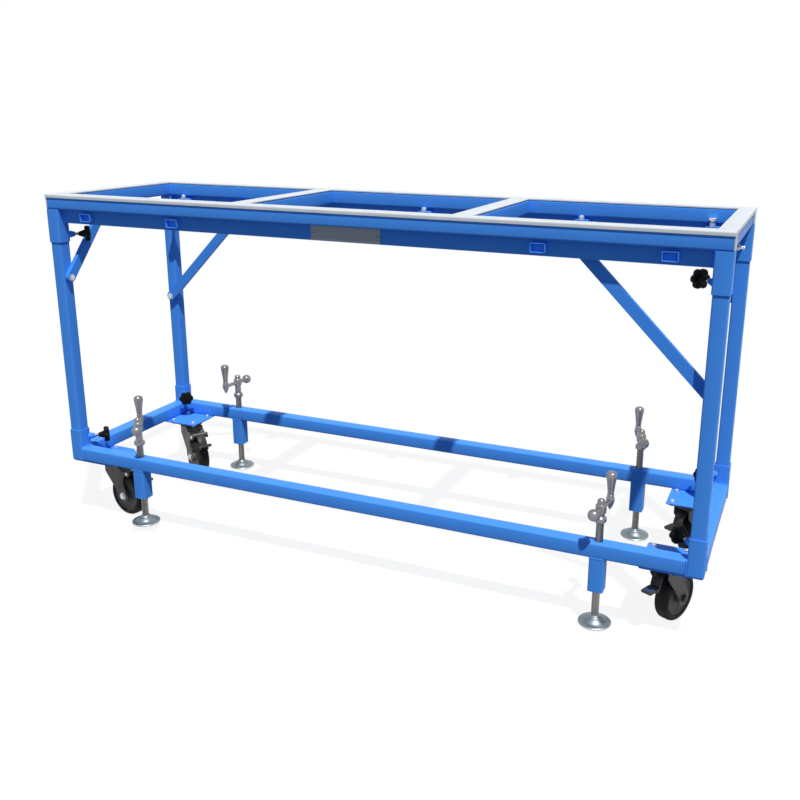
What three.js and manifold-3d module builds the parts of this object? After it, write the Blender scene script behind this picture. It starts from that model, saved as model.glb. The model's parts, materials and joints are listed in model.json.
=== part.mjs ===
// Knock-down assembly table: welded tube frames, socketed legs, swivel casters, screw jacks.
// Millimetres, +Z up, +X along the length, -Y is the front, origin on the floor at the centre.
import * as THREE from 'three';
import { mergeVertices } from 'three/addons/utils/BufferGeometryUtils.js';
import Module from 'manifold-3d';

const wasm = await Module();
wasm.setup();

// Overall frame
const LENGTH = 1830;
const DEPTH = 524;
const GAP = 0.3;
const WALL = 2;
// Top frame
const STRIP_TOP = 961;
const STRIP_THICK = 4;
const LIP_H = 10;
const LIP_T = 2;
const RAIL_TOP = 957;
const RAIL_H = 37;
const RAIL_W = 40;
const APRON_H = 38;
const APRON_T = 6;
const APRON_INSET = 17.5;
const CROSS_X = 305;
const CROSS_W = 50;
const CAP_T = 3;
// Sockets and legs
const SOCKET = 40;
const SOCKET_IN = 35.6;
const SOCKET_FLOOR = 3;
const BOSS_R = 9;
const BOSS_REACH = 41;
const LEG = 35;
const TOP_SOCKET_BOTTOM = 828;
const BASE_SOCKET_TOP = 273;
const LEG_TOP = 914;
// Base frame
const BASE_Z = 182;
const BASE_H = 38;
const BASE_D = 32;
const END_W = 40;
const END_WALL = 3;
const END_FLOOR = 5;
// Caster mounting plates and their bolts
const PLATE_T = 4;
const PLATE_LIP = 4;
const PLATE_SHY = 1;
const BOLT_SPREAD = 39;
const BOLT_R = 7;
const BOLT_HEAD = 4;
const NUT_H = 6;
// Receivers for slide-in arms
const RECEIVER_X = { front: [-786, -497, 497, 786], rear: [-816, -478, 20, 478, 816] };
const RECEIVER_W = 36;
const RECEIVER_H = 23;
const RECEIVER_LEN = 50;
const RECEIVER_PROUD = 11;
// Plate on the front apron
const NAME_X = 12;
const NAME_W = 190;
const NAME_T = 1.5;
const NAME_EDGE = 1;
// Braces and their bolts
const BRACE_W = 28;
const SPACER_R = 12;
const BRACE_T = 12;
const BRACE_BOLT_R = 9;
const BRACE_BOLT_H = 6.5;
const LONG_PIVOT_Z = 589;
const LONG_RUN = 312;
const SHORT_PIVOT_Z = 729;
const SHORT_RUN = 128;
const SHORT_RISE = 149;
const LUG_T = 8;
const LUG_W = 36;
const LUG_DROP = 15;
// Jacks: heights of the crank are above the underside of its pad
const JACK_X = 671;
const JACK_TUBE = 37;
const JACK_TUBE_BOTTOM = 95;
const JACK_NUT_H = 8;
const PAD_LIFT = { fl: 16, fr: 6, rl: 12, rr: 14 };
const PAD_R = 40;
const PAD_NECK_R = 14;
const PAD_H = 22;
const SCREW_R = 9.5;
const SCREW_HOLE_R = 9.8;
const COLLAR_H = { fl: 247, fr: 271, rl: 253, rr: 272 };
const COLLAR_R = 15;
const SLEEVE_R = 10;
const HUB_R = 13;
const ARM_H = 297;
const ARM_R = 5.5;
const BALL_REACH = 43;
const BALL_R = 14.5;
const GRIP_REACH = 57;
const GRIP_FOOT_R = 7.5;
const GRIP_R = 13;
const GRIP_TOP = 370;
const CRANK_TURN = { fl: 125, fr: 80.6, rl: 262, rr: 110 };
// Casters
const SWIVEL_X = 821;
const SWIVEL_Y = 179;
const WHEEL_R = 63.5;
const WHEEL_W = 36;
const WHEEL_SIDES = 24;
const HUB_HALF = 20;
const HUB_FACE_R = 14;
const DISH_R = 18;
const DISH_DEPTH = 4;
const WEB_R = 46;
const TREAD_DROP = 8;
const BORE_R = 6.1;
const TRAIL = 45;
const CASTER_PLATE = 100;
const CASTER_PLATE_T = 3;
const RACE_R = 36;
const FORK_IN = 46;
const FORK_T = 4;
const FORK_BACK = 27;
const FORK_FRONT = 32;
const FORK_LOBE_R = 20;
const FORK_TOP = 174.2;
const CROWN_Z = 156.7;
const CROWN_T = 4;
const AXLE_R = 6;
const AXLE_NUT_R = 10;
const AXLE_NUT_H = 7;
// Brake pedals
const PIN_R = 3;
const PIN_HOLE_R = 3.1;
const BARREL_R = 7;
const PIN_EDGE = 9.5;
const PEDAL_W = 26;
const FOOT_T = 8;
const FOOT_START = 37;
const FOOT_DROP = 45;
// Knobs
const TOP_KNOB_Z = 848;
const BASE_KNOB_Z = 246;
const STUD_R = 4;
const STUD_HOLE_R = 4.1;
const STUD_START = 26.5;
const KNOB_NEAR = 56;
const KNOB_BOSS = 12;
const KNOB_NEAR_R = 8;
const KNOB_FAR_R = 11;
const KNOB_T = 15;
const KNOB_R = 23;
const KNOB_LOBES = 6;
const KNOB_WAVE = 2;
const KNOB_EDGE = 2;

const PAINT = { color: 0x2f74cf, roughness: 0.35, metalness: 0.1 };
const WHITE = { color: 0xeef2f8, roughness: 0.5, metalness: 0.0 };
const BLACK = { color: 0x111112, roughness: 0.5, metalness: 0.0 };
const FORK = { color: 0x4a463f, roughness: 0.45, metalness: 0.7 };
const TYRE = { color: 0x1c1c1d, roughness: 0.7, metalness: 0.0 };
const STEEL = { color: 0xb9bcc0, roughness: 0.25, metalness: 1.0 };
const ZINC = { color: 0xa9b4b6, roughness: 0.35, metalness: 0.9 };
const PLATE = { color: 0x8f979c, roughness: 0.5, metalness: 0.2 };

const table = new THREE.Group();
table.name = 'assembly_table';

function solid(geometry) {
  const bare = geometry.clone();
  bare.deleteAttribute('normal');
  bare.deleteAttribute('uv');
  const merged = mergeVertices(bare, 1e-4);
  const mesh = new wasm.Mesh({
    numProp: 3,
    vertProperties: new Float32Array(merged.attributes.position.array),
    triVerts: new Uint32Array(merged.index.array),
  });
  return new wasm.Manifold(mesh);
}

function put(name, body, look) {
  const out = body.getMesh();
  const geometry = new THREE.BufferGeometry();
  geometry.setAttribute('position', new THREE.BufferAttribute(new Float32Array(out.vertProperties), 3));
  geometry.setIndex(new THREE.BufferAttribute(new Uint32Array(out.triVerts), 1));
  geometry.computeVertexNormals();
  const mesh = new THREE.Mesh(geometry, new THREE.MeshStandardMaterial(look));
  mesh.name = name;
  table.add(mesh);
}

// Box between two corners
function block(x0, x1, y0, y1, z0, z1) {
  const geometry = new THREE.BoxGeometry(Math.abs(x1 - x0), Math.abs(y1 - y0), Math.abs(z1 - z0));
  geometry.translate((x0 + x1) / 2, (y0 + y1) / 2, (z0 + z1) / 2);
  return solid(geometry);
}

// Solid of revolution about Z from a profile of [radius, height] points
function turned(profile, x, y, segments = 12) {
  const points = profile.map(([r, z]) => new THREE.Vector2(r, z));
  const geometry = new THREE.LatheGeometry(points, segments);
  geometry.rotateX(Math.PI / 2);
  geometry.translate(x, y, 0);
  return solid(geometry);
}

// Round bar between two points
function bar(from, to, r0, r1, segments = 12) {
  const a = new THREE.Vector3(...from);
  const b = new THREE.Vector3(...to);
  const run = new THREE.Vector3().subVectors(b, a);
  const geometry = new THREE.CylinderGeometry(r1, r0, run.length(), segments);
  const upright = new THREE.Vector3(0, 1, 0);
  geometry.applyQuaternion(new THREE.Quaternion().setFromUnitVectors(upright, run.clone().normalize()));
  geometry.translate((a.x + b.x) / 2, (a.y + b.y) / 2, (a.z + b.z) / 2);
  return solid(geometry);
}

function ball(x, y, z, r) {
  const geometry = new THREE.SphereGeometry(r, 12, 8);
  geometry.translate(x, y, z);
  return solid(geometry);
}

const HALF_L = LENGTH / 2;
const HALF_D = DEPTH / 2;
const RAIL_BOTTOM = RAIL_TOP - RAIL_H;
const APRON_BOTTOM = RAIL_BOTTOM - APRON_H;
const STRIP_BOTTOM = STRIP_TOP - STRIP_THICK + GAP;
const LIP_BOTTOM = STRIP_TOP - LIP_H;
const SOCKET_X = HALF_L - SOCKET / 2;
const SOCKET_Y = HALF_D - SOCKET / 2;
const SHORT_Y = HALF_D - RAIL_W - GAP;
const CORNERS = [
  { tag: 'fl', sx: -1, sy: -1 },
  { tag: 'fr', sx: 1, sy: -1 },
  { tag: 'rl', sx: -1, sy: 1 },
  { tag: 'rr', sx: 1, sy: 1 },
];

// Square leg socket with a welded nut boss on its inner corner: its outside, and what is cut from it
function socket(sx, sy, z0, z1, floor, knobZ) {
  const cx = sx * SOCKET_X;
  const cy = sy * SOCKET_Y;
  const h = SOCKET / 2;
  const c = SOCKET_IN / 2;
  const d = Math.SQRT1_2;
  const along = (t) => [cx - sx * t * d, cy - sy * t * d, knobZ];
  const boss = bar(along(c), along(BOSS_REACH), BOSS_R, BOSS_R);
  const cavity = block(cx - c, cx + c, cy - c, cy + c, z0 + floor, z1 + 1);
  const stud = bar(along(h / 2), along(BOSS_REACH + 1), STUD_HOLE_R, STUD_HOLE_R, 24);
  return {
    outer: block(cx - h, cx + h, cy - h, cy + h, z0, z1).add(boss),
    cut: cavity.add(stud),
  };
}

// Painted plate under a base corner, the steel plate of the caster below it, and four bolts
function mountingPlate(sx, sy) {
  const px = sx * SWIVEL_X;
  const py = sy * SWIVEL_Y;
  const p = CASTER_PLATE / 2;
  const top = BASE_Z - GAP;
  const middle = top - PLATE_T;
  const low = middle - CASTER_PLATE_T;
  const xNear = px - sx * (p + PLATE_LIP);
  const yNear = py - sy * (p + PLATE_LIP);
  const xFar = sx * (HALF_L - PLATE_SHY);
  const yFar = sy * (HALF_D - PLATE_SHY);
  const xWeld = sx * (HALF_L - END_W + WALL);
  let body = block(xNear, xFar, yNear, yFar, middle, top);
  body = body.add(block(xWeld, xFar, yNear, yFar, middle + 1, BASE_Z + 1));
  body = body.add(block(px - p, px + p, py - p, py + p, low, middle + 1));
  const shank = [[0, low - BOLT_HEAD], [BOLT_R, low - BOLT_HEAD], [BOLT_R, top + NUT_H], [0, top + NUT_H]];
  for (const bx of [-1, 1]) {
    for (const by of [-1, 1]) {
      body = body.add(turned(shank, px + bx * BOLT_SPREAD, py + by * BOLT_SPREAD, 6));
    }
  }
  return body;
}

// Base end frames: end rail, two sockets, two caster mounting plates
for (const [name, sx] of [['base_end_left', -1], ['base_end_right', 1]]) {
  const xo = sx * HALF_L;
  const xi = sx * (HALF_L - END_W);
  const top = BASE_Z + BASE_H;
  const wall = sx * END_WALL;
  let body = block(xo, xi, -SOCKET_Y, SOCKET_Y, BASE_Z, top);
  let cut = block(xo - wall, xi + wall, -SOCKET_Y, SOCKET_Y, BASE_Z + END_FLOOR, top - END_WALL);
  for (const sy of [-1, 1]) {
    const { outer, cut: hole } = socket(sx, sy, BASE_Z, BASE_SOCKET_TOP, SOCKET_FLOOR, BASE_KNOB_Z);
    body = body.add(outer).add(mountingPlate(sx, sy));
    cut = cut.add(hole);
  }
  put(name, body.subtract(cut), PAINT);
}

// Long base rails, each with two jack tubes below
for (const [name, sy] of [['base_rail_front', -1], ['base_rail_rear', 1]]) {
  const xe = HALF_L - SOCKET - GAP;
  const yo = sy * HALF_D;
  const yi = sy * (HALF_D - BASE_D);
  const yc = (yo + yi) / 2;
  const top = BASE_Z + BASE_H;
  const t = JACK_TUBE / 2;
  const k = t - WALL;
  const b = BASE_D / 2 - WALL;
  let body = block(-xe, xe, yo, yi, BASE_Z, top);
  let cut = block(-xe - 1, xe + 1, yc - b, yc + b, BASE_Z + WALL, top - WALL);
  for (const sx of [-1, 1]) {
    const x = sx * JACK_X;
    body = body.add(block(x - t, x + t, yc - t, yc + t, JACK_TUBE_BOTTOM, BASE_Z + 1));
    cut = cut.add(block(x - k, x + k, yc - k, yc + k, JACK_TUBE_BOTTOM + JACK_NUT_H, BASE_Z));
    cut = cut.add(bar([x, yc, JACK_TUBE_BOTTOM - 1], [x, yc, top + 1], SCREW_HOLE_R, SCREW_HOLE_R, 20));
  }
  put(name, body.subtract(cut), PAINT);
}

// Square tube legs
for (const { tag, sx, sy } of CORNERS) {
  const cx = sx * SOCKET_X;
  const cy = sy * SOCKET_Y;
  const h = LEG / 2;
  const k = h - WALL;
  const foot = BASE_Z + SOCKET_FLOOR + GAP;
  const tube = block(cx - h, cx + h, cy - h, cy + h, foot, LEG_TOP);
  put(`leg_${tag}`, tube.subtract(block(cx - k, cx + k, cy - k, cy + k, foot - 1, LEG_TOP + 1)), PAINT);
}

// Aprons: a flat bar with through receivers and a spacer behind the long brace's upper bolt, and the
// upper leg sockets welded to its ends
for (const [side, sy] of [['front', -1], ['rear', 1]]) {
  const yo = sy * (HALF_D - APRON_INSET);
  const yi = sy * (HALF_D - APRON_INSET - APRON_T);
  const zTop = RAIL_BOTTOM - GAP;
  const braceX = -sy * (SOCKET_X - LONG_RUN);
  const braceZ = LONG_PIVOT_Z + LONG_RUN;
  const spacer = [[braceX, yi + sy, braceZ], [braceX, sy * (SOCKET_Y - LEG / 2), braceZ]];
  let body = block(-SOCKET_X, SOCKET_X, yo, yi, APRON_BOTTOM, zTop);
  body = body.add(bar(...spacer, SPACER_R, SPACER_R));
  for (const sx of [-1, 1]) {
    body = body.add(socket(sx, sy, TOP_SOCKET_BOTTOM, zTop, -1, TOP_KNOB_Z).outer);
  }
  for (const sx of [-1, 1]) {
    body = body.subtract(socket(sx, sy, TOP_SOCKET_BOTTOM, zTop, -1, TOP_KNOB_Z).cut);
  }
  const zc = (APRON_BOTTOM + RAIL_BOTTOM) / 2;
  const ya = yo + sy * RECEIVER_PROUD;
  const yb = ya - sy * RECEIVER_LEN;
  const w = RECEIVER_W / 2;
  const h = RECEIVER_H / 2;
  for (const x of RECEIVER_X[side]) {
    body = body.add(block(x - w, x + w, ya, yb, zc - h, zc + h));
  }
  for (const x of RECEIVER_X[side]) {
    const bore = block(x - w + WALL, x + w - WALL, ya + sy, yb - sy, zc - h + WALL, zc + h - WALL);
    body = body.subtract(bore);
  }
  put(`apron_${side}`, body, PAINT);
}

// Upper rails: two long ones with a white cap on each end, two short ones, two cross bars.
// The white strips on the outer ones have a lip down the outside
const LONG_Y = HALF_D - LIP_T - GAP;
for (const [side, sy] of [['front', -1], ['rear', 1]]) {
  const ys = sy * HALF_D;
  const yo = sy * LONG_Y;
  const yi = sy * (HALF_D - RAIL_W);
  const yc = (yo + yi) / 2;
  const xe = HALF_L - CAP_T - GAP;
  const k = Math.abs(yo - yi) / 2 - WALL;
  const tube = block(-xe, xe, yo, yi, RAIL_BOTTOM, RAIL_TOP);
  const bore = block(-xe - 1, xe + 1, yc - k, yc + k, RAIL_BOTTOM + WALL, RAIL_TOP - WALL);
  put(`top_rail_${side}`, tube.subtract(bore), PAINT);
  const lip = block(-HALF_L, HALF_L, ys, ys - sy * LIP_T, LIP_BOTTOM, STRIP_TOP);
  put(`strip_${side}`, block(-HALF_L, HALF_L, ys, yi, STRIP_BOTTOM, STRIP_TOP).add(lip), WHITE);
}
for (const { tag, sx, sy } of CORNERS) {
  const xo = sx * HALF_L;
  const xi = sx * (HALF_L - CAP_T);
  const cap = block(xo, xi, sy * LONG_Y, sy * (HALF_D - RAIL_W), RAIL_BOTTOM, RAIL_TOP);
  put(`rail_cap_${tag}`, cap, WHITE);
}
for (const [side, sx] of [['left', -1], ['right', 1]]) {
  const xs = sx * HALF_L;
  const xo = sx * (HALF_L - CAP_T);
  const xi = sx * (HALF_L - RAIL_W);
  const wall = sx * WALL;
  const tube = block(xo, xi, -SHORT_Y, SHORT_Y, RAIL_BOTTOM, RAIL_TOP);
  const bore = block(xo - wall, xi + wall, -SHORT_Y - 1, SHORT_Y + 1, RAIL_BOTTOM + WALL, RAIL_TOP - WALL);
  const lugX = sx * (SOCKET_X - LEG / 2);
  const lugY = sx * (SOCKET_Y - SHORT_RUN);
  const lugZ = SHORT_PIVOT_Z + SHORT_RISE - LUG_DROP;
  const lug = block(lugX, lugX + sx * LUG_T, lugY - LUG_W / 2, lugY + LUG_W / 2, lugZ, RAIL_BOTTOM + 1);
  put(`top_end_${side}`, tube.subtract(bore).add(lug), PAINT);
  const lip = block(xs, xs - sx * LIP_T, -SHORT_Y, SHORT_Y, LIP_BOTTOM, STRIP_TOP);
  put(`strip_${side}`, block(xs, xi, -SHORT_Y, SHORT_Y, STRIP_BOTTOM, STRIP_TOP).add(lip), WHITE);
}
for (const [side, sx] of [['left', -1], ['right', 1]]) {
  const x = sx * CROSS_X;
  const h = CROSS_W / 2;
  const k = h - WALL;
  const tube = block(x - h, x + h, -SHORT_Y, SHORT_Y, RAIL_BOTTOM, RAIL_TOP);
  const bore = block(x - k, x + k, -SHORT_Y - 1, SHORT_Y + 1, RAIL_BOTTOM + WALL, RAIL_TOP - WALL);
  put(`cross_bar_${side}`, tube.subtract(bore), PAINT);
  put(`strip_cross_${side}`, block(x - h, x + h, -SHORT_Y, SHORT_Y, STRIP_BOTTOM, STRIP_TOP), WHITE);
}

// Bare plate on the front apron
const nameX = [NAME_X - NAME_W / 2, NAME_X + NAME_W / 2];
const nameY = -(HALF_D - APRON_INSET) - GAP;
const nameZ = [APRON_BOTTOM + NAME_EDGE, RAIL_BOTTOM - NAME_EDGE];
put('name_plate', block(...nameX, nameY, nameY - NAME_T, ...nameZ), PLATE);

// Flat brace with a bolt head at each end, seen along U (sideways) and Z
function brace(z0, run, rise) {
  const length = Math.hypot(run, rise);
  const shape = new THREE.Shape();
  const r = BRACE_W / 2;
  shape.absarc(0, 0, r, Math.PI / 2, Math.PI * 1.5, false);
  shape.absarc(length, 0, r, -Math.PI / 2, Math.PI / 2, false);
  shape.closePath();
  const flat = { depth: BRACE_T, bevelEnabled: false, curveSegments: 7 };
  let body = solid(new THREE.ExtrudeGeometry(shape, flat));
  for (const u of [0, length]) {
    const top = BRACE_T + BRACE_BOLT_H;
    body = body.add(bar([u, 0, BRACE_T - 1], [u, 0, top], BRACE_BOLT_R, BRACE_BOLT_R, 6));
  }
  const frame = new THREE.Matrix4().makeRotationZ(Math.atan2(rise, run));
  frame.setPosition(0, z0, 0);
  return body.transform(frame.elements.slice());
}

// Place a flat (u, z, w) body so that u and w follow the given plan directions
function stand(body, ux, uy, wx, wy, ox, oy) {
  const m = new THREE.Matrix4().makeBasis(
    new THREE.Vector3(ux, uy, 0), new THREE.Vector3(0, 0, 1), new THREE.Vector3(wx, wy, 0),
  );
  m.setPosition(ox, oy, 0);
  return body.transform(m.elements.slice());
}

const faceGap = LEG / 2 + GAP;
for (const [tag, s] of [['fr', 1], ['rl', -1]]) {
  const flat = brace(LONG_PIVOT_Z, LONG_RUN, LONG_RUN);
  put(`brace_${tag}`, stand(flat, -s, 0, 0, s, s * SOCKET_X, -s * (SOCKET_Y - faceGap)), PAINT);
}
for (const [tag, s] of [['rr', 1], ['fl', -1]]) {
  const flat = brace(SHORT_PIVOT_Z, SHORT_RUN, SHORT_RISE);
  put(`brace_${tag}`, stand(flat, 0, -s, -s, 0, s * (SOCKET_X - faceGap), s * SOCKET_Y), PAINT);
}

// Star knob on its stud, standing along Z from the middle of the leg
function knob() {
  const shape = new THREE.Shape();
  const steps = KNOB_LOBES * 4;
  for (let i = 0; i < steps; i += 1) {
    const a = (i / steps) * Math.PI * 2;
    const r = KNOB_R - KNOB_WAVE + KNOB_WAVE * Math.cos(KNOB_LOBES * a);
    const point = [r * Math.cos(a), r * Math.sin(a)];
    if (i === 0) {
      shape.moveTo(...point);
    } else {
      shape.lineTo(...point);
    }
  }
  shape.closePath();
  const star = new THREE.ExtrudeGeometry(shape, {
    depth: KNOB_T - 2 * KNOB_EDGE,
    bevelThickness: KNOB_EDGE,
    bevelSize: KNOB_EDGE,
    bevelOffset: -KNOB_EDGE,
    bevelSegments: 1,
  });
  const far = KNOB_NEAR + KNOB_BOSS;
  star.translate(0, 0, far);
  const hub = turned([[0, STUD_START], [STUD_R, STUD_START], [STUD_R, KNOB_NEAR], [KNOB_NEAR_R, KNOB_NEAR],
    [KNOB_FAR_R, far], [0, far]], 0, 0);
  return solid(star).add(hub);
}
for (const [level, z] of [['top', TOP_KNOB_Z], ['base', BASE_KNOB_Z]]) {
  for (const { tag, sx, sy } of CORNERS) {
    const out = new THREE.Vector3(-sx, -sy, 0).normalize();
    const up = new THREE.Vector3(0, 0, 1);
    const side = new THREE.Vector3().crossVectors(up, out);
    const m = new THREE.Matrix4().makeBasis(side, up, out);
    m.setPosition(sx * SOCKET_X, sy * SOCKET_Y, z);
    put(`knob_${level}_${tag}`, knob().transform(m.elements.slice()), BLACK);
  }
}

// Casters: direction of the trail in degrees, and the brake pedal's pin, side and hang, with the
// reach, slope and width of its foot. A waist is where the fork's cheek draws in below the pin
const OVER_WHEEL = {
  pivot: 70, height: 140, side: 1, drop: 0.62, reach: 64, rise: 0.48, wide: 34,
  waist: [[54, 86], [49, 100], [48, 112], [52, 124], [58, 130.5]],
};
const AHEAD = { pivot: 10, height: 147, side: -1, drop: 0.72, reach: 71, rise: 0, wide: 28, waist: [] };
const ROLL = { s: 37, z: 143, r: 8 };
const CASTERS = {
  fl: { turn: -9, pedal: OVER_WHEEL },
  rl: { turn: -32, pedal: OVER_WHEEL },
  fr: { turn: 66, pedal: AHEAD },
  rr: { turn: 60, pedal: AHEAD },
};

// Flat outline in (s, z), given thickness across the wheel
function slab(points, thickness) {
  const shape = new THREE.Shape();
  points.forEach(([s, z], i) => (i === 0 ? shape.moveTo(s, z) : shape.lineTo(s, z)));
  shape.closePath();
  const geometry = new THREE.ExtrudeGeometry(shape, { depth: thickness, bevelEnabled: false });
  geometry.rotateX(Math.PI / 2);
  geometry.translate(0, thickness / 2, 0);
  return solid(geometry);
}

// Fork in its own frame: s along the trail, w across the wheel, z up, with a roll over the tyre
function fork({ pivot, height, side, waist }) {
  const pin = pivot * side;
  const s0 = Math.min(-FORK_BACK, pin - PIN_EDGE);
  const s1 = Math.max(FORK_FRONT, pin + PIN_EDGE);
  const low = height - PIN_EDGE;
  const outline = [[s0, CROWN_Z + CROWN_T / 2], [s0, low]];
  for (let i = 0; i <= 10; i += 1) {
    const a = Math.PI * (0.95 + (i / 10) * 1.1);
    outline.push([TRAIL + FORK_LOBE_R * Math.cos(a), WHEEL_R + FORK_LOBE_R * Math.sin(a)]);
  }
  outline.push(...waist, [s1, low], [s1, CROWN_Z + CROWN_T / 2]);
  const w = FORK_IN / 2;
  const e = w + FORK_T;
  let body = block(s0, s1, -e, e, CROWN_Z, CROWN_Z + CROWN_T);
  for (const q of [-1, 1]) {
    const out = q * (w + FORK_T / 2);
    body = body.add(slab(outline, FORK_T).translate([0, out, 0]));
    const nut = [TRAIL, q * (e + AXLE_NUT_H), WHEEL_R];
    body = body.add(bar([TRAIL, q * (e - 1), WHEEL_R], nut, AXLE_NUT_R, AXLE_NUT_R, 6));
  }
  const seat = CROWN_Z + CROWN_T - 1;
  const race = [[0, seat], [RACE_R - 6, seat], [RACE_R, seat + 6], [RACE_R, FORK_TOP], [0, FORK_TOP]];
  body = body.add(turned(race, 0, 0, 20));
  body = body.add(bar([TRAIL, -e, WHEEL_R], [TRAIL, e, WHEEL_R], AXLE_R, AXLE_R, 24));
  body = body.add(bar([ROLL.s, -w - 1, ROLL.z], [ROLL.s, w + 1, ROLL.z], ROLL.r, ROLL.r));
  return body.add(bar([pin, -w - 1, height], [pin, w + 1, height], PIN_R, PIN_R, 16));
}

// Wheel about its own axle, standing on a flat of its tread, with a raised hub and a dished face
function wheel() {
  const h = WHEEL_W / 2;
  const tread = WHEEL_R / Math.cos(Math.PI / WHEEL_SIDES);
  const half = [[BORE_R, HUB_HALF], [HUB_FACE_R, HUB_HALF], [DISH_R, h - DISH_DEPTH], [WEB_R, h],
    [tread - TREAD_DROP / 2, h], [tread, h - TREAD_DROP]];
  const mirrored = half.map(([r, z]) => [r, -z]).reverse();
  const points = [...half, ...mirrored, half[0]].reverse();
  const profile = points.map(([r, z]) => new THREE.Vector2(r, z));
  const geometry = new THREE.LatheGeometry(profile, WHEEL_SIDES);
  geometry.rotateY(Math.PI / WHEEL_SIDES);
  geometry.translate(TRAIL, 0, WHEEL_R);
  return solid(geometry);
}

// Brake pedal: barrel on the pin, an arm that hangs down, and a foot that points outwards.
// Points of its outline are given from the pin: outwards, and up
function pedal({ pivot, height, side, drop, reach, rise, wide }) {
  const at = ([u, v]) => [side * (pivot + u), height + v];
  const arm = [[-3, -5], [9, -4], [26, -22 * drop], [32, -50 * drop], [40, -58 * drop], [46, -56 * drop],
    [41, -47 * drop], [35, -43 * drop], [30, -18 * drop], [12, 4], [-3, 5]];
  const start = -FOOT_DROP * drop;
  const end = start + (reach - FOOT_START) * rise;
  const t = FOOT_T / 2;
  const foot = [[FOOT_START, start - t], [reach, end - t], [reach, end + t], [FOOT_START, start + t]];
  const y = FORK_IN / 2 - 2;
  const [s] = at([0, 0]);
  const barrel = bar([s, -y, height], [s, y, height], BARREL_R, BARREL_R);
  const hole = bar([s, -y - 1, height], [s, y + 1, height], PIN_HOLE_R, PIN_HOLE_R, 24);
  return slab(arm.map(at), PEDAL_W).add(slab(foot.map(at), wide)).add(barrel).subtract(hole);
}

for (const { tag, sx, sy } of CORNERS) {
  const { turn, pedal: kind } = CASTERS[tag];
  const m = new THREE.Matrix4().makeRotationZ(turn * Math.PI / 180);
  m.setPosition(sx * SWIVEL_X, sy * SWIVEL_Y, 0);
  const place = m.elements.slice();
  put(`caster_fork_${tag}`, fork(kind).transform(place), FORK);
  put(`caster_wheel_${tag}`, wheel().transform(place), TYRE);
  put(`caster_pedal_${tag}`, pedal(kind).transform(place), BLACK);
}

// Levelling jacks: swivel pad, and a screw with its ball crank
for (const { tag, sx, sy } of CORNERS) {
  const x = sx * JACK_X;
  const y = sy * (HALF_D - BASE_D / 2);
  const lift = PAD_LIFT[tag];
  const raised = (profile) => profile.map(([r, z]) => [r, z + lift]);
  const pad = [[0, 0], [PAD_R - 1, 0], [PAD_R, 2], [PAD_R, 4], [PAD_R - 6, 7], [PAD_NECK_R + 6, 10],
    [PAD_NECK_R + 1, 13], [PAD_NECK_R, PAD_H], [0, PAD_H]];
  put(`jack_pad_${tag}`, turned(raised(pad), x, y, 24), ZINC);
  const foot = PAD_H + GAP;
  const collar = COLLAR_H[tag];
  const stem = [[0, foot], [SCREW_R, foot], [SCREW_R, collar - 8], [COLLAR_R - 3, collar - 8],
    [COLLAR_R, collar - 4], [COLLAR_R, collar + 4], [COLLAR_R - 3, collar + 7],
    [SLEEVE_R, collar + 9], [SLEEVE_R, ARM_H - 12], [HUB_R, ARM_H - 9], [HUB_R, ARM_H + 9],
    [SLEEVE_R, ARM_H + 12], [SLEEVE_R, ARM_H + 22], [SLEEVE_R - 3, ARM_H + 25], [0, ARM_H + 25]];
  const grip = [[0, ARM_H - 24], [GRIP_FOOT_R + 1, ARM_H - 9], [GRIP_FOOT_R + 3, ARM_H],
    [GRIP_FOOT_R + 3, ARM_H + 6], [GRIP_FOOT_R, ARM_H + 10], [GRIP_R, GRIP_TOP - 10],
    [GRIP_R - 1, GRIP_TOP - 4], [GRIP_R / 2, GRIP_TOP], [0, GRIP_TOP]];
  const a = CRANK_TURN[tag] * Math.PI / 180;
  const at = (reach) => [x + reach * Math.cos(a), y + reach * Math.sin(a), lift + ARM_H];
  const weight = at(-BALL_REACH);
  const elbow = at(GRIP_REACH);
  let screw = turned(raised(stem), x, y);
  screw = screw.add(bar(weight, elbow, ARM_R + 1, ARM_R));
  screw = screw.add(ball(...weight, BALL_R));
  screw = screw.add(turned(raised(grip), elbow[0], elbow[1]));
  put(`jack_screw_${tag}`, screw, STEEL);
}

export default table;
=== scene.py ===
"""Looks of a knock-down assembly table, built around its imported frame. Metres, +Z up, front is -Y."""
import json
import math

import bmesh
import bpy
from mathutils import Matrix, Vector


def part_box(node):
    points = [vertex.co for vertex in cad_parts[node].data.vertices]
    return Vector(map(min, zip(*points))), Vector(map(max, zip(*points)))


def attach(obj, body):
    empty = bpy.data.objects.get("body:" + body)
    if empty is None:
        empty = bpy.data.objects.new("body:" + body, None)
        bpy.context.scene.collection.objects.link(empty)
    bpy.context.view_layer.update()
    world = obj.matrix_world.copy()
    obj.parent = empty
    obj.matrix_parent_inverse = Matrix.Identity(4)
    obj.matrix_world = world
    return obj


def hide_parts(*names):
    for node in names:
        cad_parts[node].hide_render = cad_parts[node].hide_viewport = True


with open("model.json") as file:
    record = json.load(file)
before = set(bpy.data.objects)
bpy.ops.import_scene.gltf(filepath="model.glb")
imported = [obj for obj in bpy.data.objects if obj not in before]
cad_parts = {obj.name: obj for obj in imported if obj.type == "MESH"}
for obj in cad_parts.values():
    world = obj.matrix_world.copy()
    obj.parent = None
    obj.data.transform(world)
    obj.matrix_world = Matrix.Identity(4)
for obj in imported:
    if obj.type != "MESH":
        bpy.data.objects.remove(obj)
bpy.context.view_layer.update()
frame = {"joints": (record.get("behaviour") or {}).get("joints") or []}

MM = 0.001
UP = Vector((0, 0, 1))
# Air between parts that lie on each other
GAP = 0.3 * MM
# Edges bent by more degrees than this are drawn sharp
SHARP_ANGLE = 38
CORNERS = {"fl": (-1, -1), "fr": (1, -1), "rl": (-1, 1), "rr": (1, 1)}

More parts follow.
